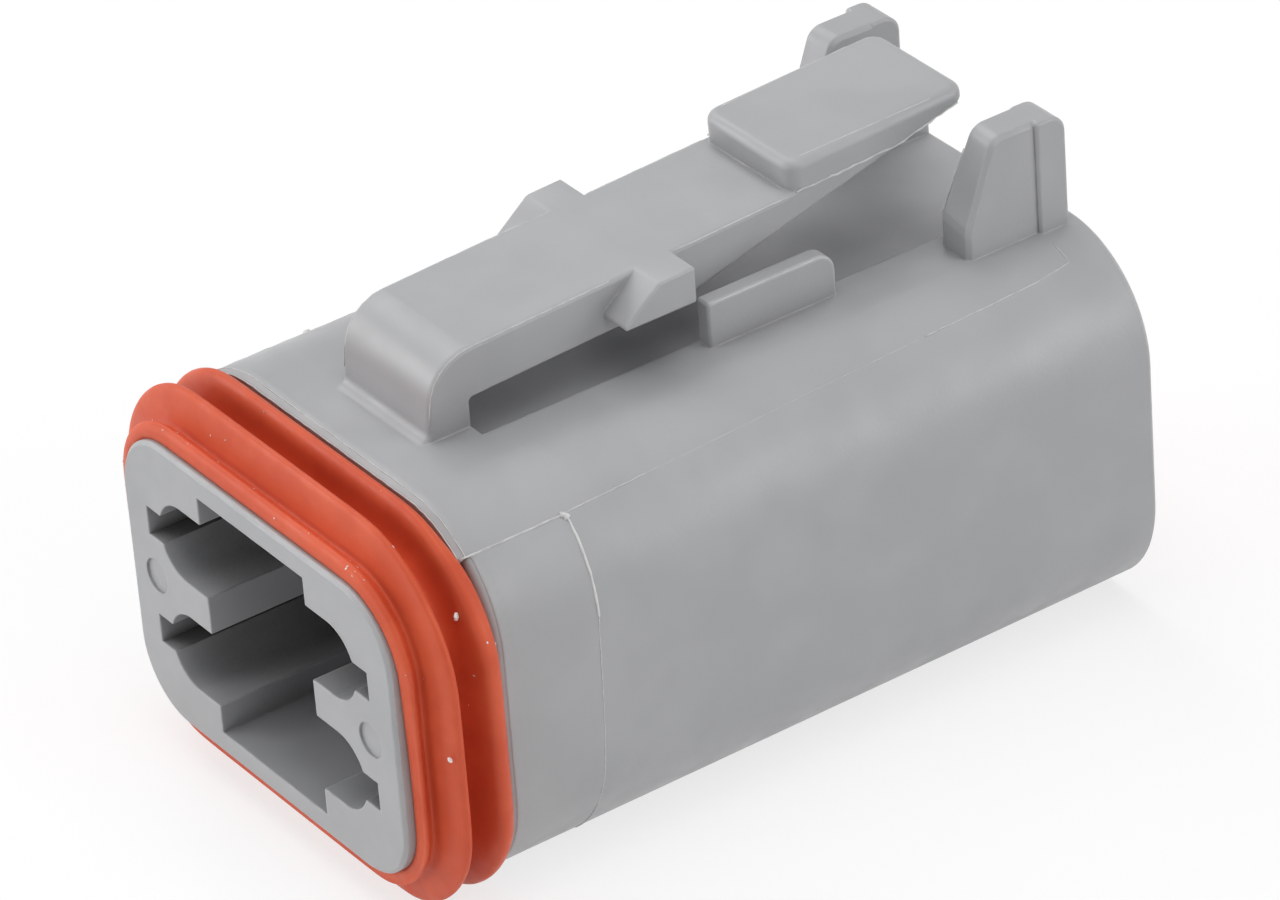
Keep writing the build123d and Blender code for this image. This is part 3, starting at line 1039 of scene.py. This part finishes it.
@dataclass
class FrontSeal:
    """Soft ring round the nose: a small lip and two round ribs with soft valleys between.

    Attributes:
        layout: Places of the frame.
        finish: Its material.
        scrap: Material of the scraps that cling to it.
        half_width: Half of the nose's width.
        half_height: Half of the nose's height.
        corner: Radius of the nose's corners.
        tuck: How far the ribs draw in at the corners, as a share of their height.
        lowest: Height of its flattened underside over the floor.
        lip_foot: Distance behind the nose face up to which points belong to the lip's foot.
        lip_back: How much further back the lip's foot begins halfway down the sides than on top.
        rear_foot: Distance behind the nose face from which points belong to the rear flank.
        rear_back: How much further back that flank ends below the upper rim than on top.
        rear_turn: Height over the axis at which the flank begins to go back, and where it is back.
        profile: Points round the ring's section: distance behind the nose face and height
            over the nose's outline, in millimetres.
        scraps: Larger scraps: across, behind the nose face, over the nose's axis, and width,
            in millimetres.
        dust: Number of small scraps on the lip, and again on the whole ring.
        lip_dust: Least and greatest width of those on the lip, in millimetres.
        ring_dust: The same for those on the whole ring.
        dust_form: Least and greatest length, breadth and height of one, as shares of its width.
        seed: Seed of their places.
        lip_zone: Distance behind the nose face up to which points belong to the lip.
        proud: How far over the nose's outline the places of scraps begin.
        grid: Cell in which two places count as one when they are put in order.
        smoothing: Levels of subdivision.
    """

    layout: Layout
    finish: Material
    scrap: Material
    half_width: float = 9.96 * MM
    half_height: float = 6.92 * MM
    corner: float = 3.2 * MM
    tuck: float = 0.18
    lowest: float = 0.02 * MM
    lip_foot: float = 0.45 * MM
    lip_back: float = 0.2 * MM
    rear_foot: float = 3.7 * MM
    rear_back: float = 0.24 * MM
    rear_turn: Pair = (8.4 * MM, 7.6 * MM)
    profile: tuple[Pair, ...] = (
        (0.4, -0.28), (0.4, -0.02), (0.27, 0.1), (0.25, 0.34), (0.34, 0.64), (0.48, 0.82),
        (0.68, 0.84), (0.84, 0.62), (1.0, 0.46), (1.14, 0.5), (1.26, 0.85), (1.35, 1.45),
        (1.48, 2.05), (1.72, 2.33), (1.96, 2.08), (2.1, 1.45), (2.24, 0.75), (2.46, 0.28),
        (2.72, 0.28), (2.98, 0.75), (3.12, 1.45), (3.28, 2.05), (3.55, 2.31), (3.84, 2.05),
        (4.04, 1.45), (4.12, 0.8), (4.12, 0.2), (4.12, -0.28),
    )
    scraps: tuple[tuple[float, float, float, float], ...] = (
        (11.92, 1.27, 0.5, 0.32), (10.6, 3.0, 5.98, 0.4), (12.05, 3.6, 0.91, 0.2),
        (11.84, 3.58, 5.1, 0.12), (-1.82, 0.62, 7.4, 0.08), (-0.54, 0.8, 7.5, 0.07),
        (-3.37, 0.89, 7.5, 0.09), (-2.61, 3.55, 9.06, 0.1),
    )
    dust: int = 20
    lip_dust: Pair = (0.06, 0.11)
    ring_dust: Pair = (0.05, 0.1)
    dust_form: tuple[Pair, Pair, Pair] = ((1, 2.2), (0.6, 0.9), (0.4, 0.6))
    seed: int = 11
    lip_zone: float = 0.8 * MM
    proud: float = 0.45 * MM
    grid: float = 0.01 * MM
    smoothing: int = 2

    def settle(self, shape: Shape) -> None:
        """Draws the ribs in at the corners, shifts both feet and keeps the ring off the floor.

        Args:
            shape: The ring's mesh.
        """
        inner = Vector((self.half_width - self.corner, 0, self.half_height - self.corner))
        begin, done = self.rear_turn
        for vertex in shape.mesh.verts:
            place = vertex.co - Vector((0, 0, self.layout.axis))
            away = Vector((abs(place.x) - inner.x, 0, abs(place.z) - inner.z))
            if min(away.x, away.z) > 0:
                height = away.length - self.corner
                share = math.sin(2 * math.atan2(away.z, away.x))
                shift = away.normalized() * (self.tuck * max(height, 0) * share)
                vertex.co.x -= math.copysign(shift.x, place.x)
                vertex.co.z -= math.copysign(shift.z, place.z)
            behind = place.y - self.layout.front
            if behind < self.lip_foot:
                vertex.co.y += self.lip_back * min(max(1 - place.z / self.half_height, 0), 1)
            elif behind > self.rear_foot:
                vertex.co.y += self.rear_back * min(max((begin - place.z) / (begin - done), 0), 1)
            vertex.co.z = max(vertex.co.z, self.lowest)

    def ring(self) -> Piece:
        """Makes one half of the ring, mirrors it and smooths it.

        Returns:
            The ring.
        """
        shape = Shape()
        across = self.half_width - self.corner
        up = self.half_height - self.corner
        axis = self.layout.axis
        top = axis + self.half_height
        start = [Vector((0, self.layout.front + y * MM, top + h * MM)) for y, h in self.profile]
        section = Sweep(shape, start)
        section.push((across, 0, 0), parts=3)
        section.turn((across, 0, axis + up), 90, steps=8)
        section.push((0, 0, -2 * up), parts=3)
        section.turn((across, 0, axis - up), 90, steps=8)
        section.push((-across, 0, 0), parts=3)
        shape.mirror()
        self.settle(shape)
        shape.close()
        piece = shape.finish("front_seal", self.finish, sharp=None)
        smooth = piece.modifiers.new("soft", "SUBSURF")
        smooth.levels = self.smoothing
        smooth.render_levels = self.smoothing
        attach(piece, Body.SHELL.value)
        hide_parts(Solid.FRONT_SEAL.value)
        return piece

    def outer_points(self, ring: Piece) -> list[Vector]:
        """Points on the ring's smoothed skin, on top and high on the sides.

        Args:
            ring: The ring.

        Returns:
            The points, in the same order each run.
        """
        skin = bmesh.new()
        skin.from_object(ring, bpy.context.evaluated_depsgraph_get())
        points = []
        for vertex in skin.verts:
            over = vertex.co.z - self.layout.axis - self.half_height
            beside = abs(vertex.co.x) - self.half_width
            if over > self.proud or (beside > self.proud and over > -self.half_height):
                points.append(vertex.co.copy())
        skin.free()
        return sorted(points, key=lambda point: [round(value / self.grid) for value in point])

    def cling(self, places: Sequence[Vector]) -> None:
        """Puts small scraps of plastic on the ring.

        Args:
            places: Where small ones may be.
        """
        dice = random.Random(self.seed)
        lengths, breadths, heights = self.dust_form
        origin = Vector((0, self.layout.front, self.layout.axis))
        shape = Shape()
        spots = [
            (origin + Vector((across, back, up)) * MM, width * MM)
            for across, back, up, width in self.scraps
        ]
        lip = [place for place in places if place.y < self.layout.front + self.lip_zone]
        for _ in range(self.dust):
            spots.append((dice.choice(lip), dice.uniform(*self.lip_dust) * MM))
            spots.append((dice.choice(places), dice.uniform(*self.ring_dust) * MM))
        for index, (place, width) in enumerate(spots):
            turn = Euler([dice.uniform(0, math.tau) for _ in range(3)]).to_matrix().to_4x4()
            length = 1.0 if index < len(self.scraps) else dice.uniform(*lengths)
            flat = Matrix.Diagonal((length, dice.uniform(*breadths), dice.uniform(*heights), 1))
            seat = Matrix.Translation(place) @ turn @ flat
            bmesh.ops.create_icosphere(shape.mesh, subdivisions=1, radius=width / 2, matrix=seat)
        piece = shape.finish("clinging_scraps", self.scrap)
        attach(piece, Body.SHELL.value)

    def build(self) -> None:
        """Makes the ring and what clings to it."""
        self.cling(self.outer_points(self.ring()))


@dataclass
class WireSeal:
    """Soft block behind, with a raised collar round each wire hole.

    Attributes:
        layout: Places of the frame.
        solid: The block's solid.
        finish: Its material.
        edge: Radius of the block's edges.
        sharp: Angle in degrees from which an edge is rounded.
        collar: Half-section of a collar: distance from the hole's rim and height over the
            block's rear face, in millimetres.
    """

    layout: Layout
    solid: Piece
    finish: Material
    edge: float = 0.12 * MM
    sharp: float = 40.0
    collar: tuple[Pair, ...] = (
        (0.62, -0.2), (0.62, 0.12), (0.74, 0.3), (0.95, 0.36), (1.16, 0.3), (1.3, 0.1), (1.34, -0.2),
    )

    def collars(self, rear: float) -> None:
        """Spins one collar round each hole.

        Args:
            rear: Y of the block's rear face.
        """
        shape = Shape()
        reach = self.layout.wire_radius
        for middle in self.layout.wires:
            centre = Vector((middle.x, rear, middle.z))
            points = [centre + Vector((reach + out * MM, up * MM, 0)) for out, up in self.collar]
            Sweep(shape, points).turn(centre, 360, steps=40)
        shape.close()
        piece = shape.finish("wire_collars", self.finish, sharp=None)
        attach(piece, Body.SHELL.value)

    def build(self) -> None:
        """Makes the block's skin and its collars."""
        shape = Shape.copy_of(self.solid)
        shape.join_flat()
        piece = shape.finish("wire_seal_block", self.finish)
        soft = piece.modifiers.new("soft", "BEVEL")
        soft.width = self.edge
        soft.segments = 3
        soft.limit_method = "ANGLE"
        soft.angle_limit = math.radians(self.sharp)
        soft.harden_normals = True
        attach(piece, Body.SHELL.value)
        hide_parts(Solid.WIRE_SEAL.value)
        self.collars(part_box(Solid.WIRE_SEAL.value)[1].y)


@dataclass(frozen=True)
class Softbox:
    """One large soft lamp.

    Attributes:
        name: Name of the lamp.
        place: Where it stands, in metres.
        size: Width and height.
        power: Power in watts.
    """

    name: str
    place: Point
    size: float
    power: float

    def build(self, target: Vector) -> None:
        """Hangs the lamp and points it at the part.

        Args:
            target: What it points at.
        """
        lamp = bpy.data.lights.new(self.name, "AREA")
        lamp.size = self.size
        lamp.energy = self.power
        holder = bpy.data.objects.new(self.name, lamp)
        holder.location = self.place
        holder.rotation_euler = (target - holder.location).to_track_quat("-Z", "Y").to_euler()
        bpy.context.scene.collection.objects.link(holder)


@dataclass
class Studio:
    """Floor, lamps, sky and camera.

    Attributes:
        target: Point that the camera looks at.
        middle: Point that the lamps are aimed at.
        azimuth: Direction of the camera, in degrees from the nose side towards +X.
        elevation: Its height over the horizon, in degrees.
        roll: Its turn about its own axis, in degrees.
        distance: Its distance from the target, in metres.
        lens: Focal length in millimetres.
        sensor: Width of its sensor in millimetres.
        floor_size: Half of the floor's width.
        softboxes: The lamps.
    """

    target: Point = (-3.315 * MM, 2.444 * MM, 8.268 * MM)
    middle: Point = (0, 0, 10 * MM)
    azimuth: float = 56.795
    elevation: float = 32.27
    roll: float = -4.489
    distance: float = 0.33156
    lens: float = 218.33
    sensor: float = 36.0
    floor_size: float = 2.0
    softboxes: tuple[Softbox, ...] = (
        Softbox("ceiling", (0.0, 0.0, 1.0), 1.3, 2.94),
        Softbox("overhead", (0.0, 0.0, 0.6), 0.5, 1.12),
        Softbox("top_left", (-0.4, 0.0, 0.45), 0.35, 0.94),
        Softbox("top_right", (0.4, 0.0, 0.45), 0.35, 0.46),
        Softbox("front", (0.0, -0.6, 0.15), 0.3, 0.95),
        Softbox("front_left", (-0.42, -0.42, 0.18), 0.3, 1.28),
        Softbox("right", (0.6, 0.0, 0.15), 0.3, 0.34),
        Softbox("rear_right", (0.42, 0.42, 0.2), 0.3, 1.25),
    )

    def floor(self) -> None:
        """Lays the floor."""
        shape = Shape()
        bmesh.ops.create_grid(shape.mesh, x_segments=1, y_segments=1, size=self.floor_size)
        piece = shape.finish("floor", StudioFloor().build("floor_white"))

    def world(self) -> None:
        """Sets a sky that the camera and gloss see as white and that gives no light."""
        world = bpy.data.worlds.new("sky")
        world.use_nodes = True
        back = world.node_tree.nodes["Background"]
        back.inputs["Color"].default_value = opaque((1, 1, 1))
        world.node_tree.links.new(sight(world.node_tree), back.inputs["Strength"])
        bpy.context.scene.world = world

    def camera(self) -> None:
        """Sets up the camera at the photograph's angle."""
        turn = math.radians(self.azimuth)
        rise = math.radians(self.elevation)
        back = Vector((
            math.sin(turn) * math.cos(rise), -math.cos(turn) * math.cos(rise), math.sin(rise),
        ))
        right = Vector((math.cos(turn), math.sin(turn), 0))
        up = back.cross(right)
        level = Matrix((right, up, back)).transposed().to_4x4()
        data = bpy.data.cameras.new("camera")
        data.lens = self.lens
        data.sensor_width = self.sensor
        data.clip_start = 0.01
        data.clip_end = 20.0
        holder = bpy.data.objects.new("camera", data)
        spin = Matrix.Rotation(math.radians(self.roll), 4, "Z")
        place = Matrix.Translation(Vector(self.target) + back * self.distance)
        holder.matrix_world = place @ level @ spin
        bpy.context.scene.collection.objects.link(holder)
        bpy.context.scene.camera = holder

    def build(self) -> None:
        """Builds everything round the part."""
        bpy.context.scene.view_settings.view_transform = "Standard"
        self.floor()
        self.world()
        for softbox in self.softboxes:
            softbox.build(Vector(self.middle))
        self.camera()


def main() -> None:
    """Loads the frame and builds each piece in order."""
    logging.basicConfig(level=logging.INFO, format="%(name)s %(message)s")
    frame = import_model()
    layout = Layout.read(frame)
    nodes = frame["nodes"]
    grey = MouldedPlastic(layout.root.y).build("grey_plastic")
    red = Silicone().build("red_silicone")
    # Pale finish of the flash, also used for the lines that paint highlights along edges.
    flash = PaleScrap((0.6, 0.605, 0.61), shade=0.86).build("pale_flash_and_highlight")
    bright = PaleScrap((0.7, 0.7, 0.7), shade=0.9).build("bright_flash")
    scrap = PaleScrap((0.8, 0.79, 0.77)).build("white_scrap")
    Shell(layout, nodes[Solid.HOUSING.value], grey, flash, bright).build()
    Latch(layout, nodes[Solid.LATCH_ARM.value], grey, flash).build()
    FrontSeal(layout, red, scrap).build()
    WireSeal(layout, nodes[Solid.WIRE_SEAL.value], red).build()
    Studio().build()


if __name__ == "__main__":
    main()
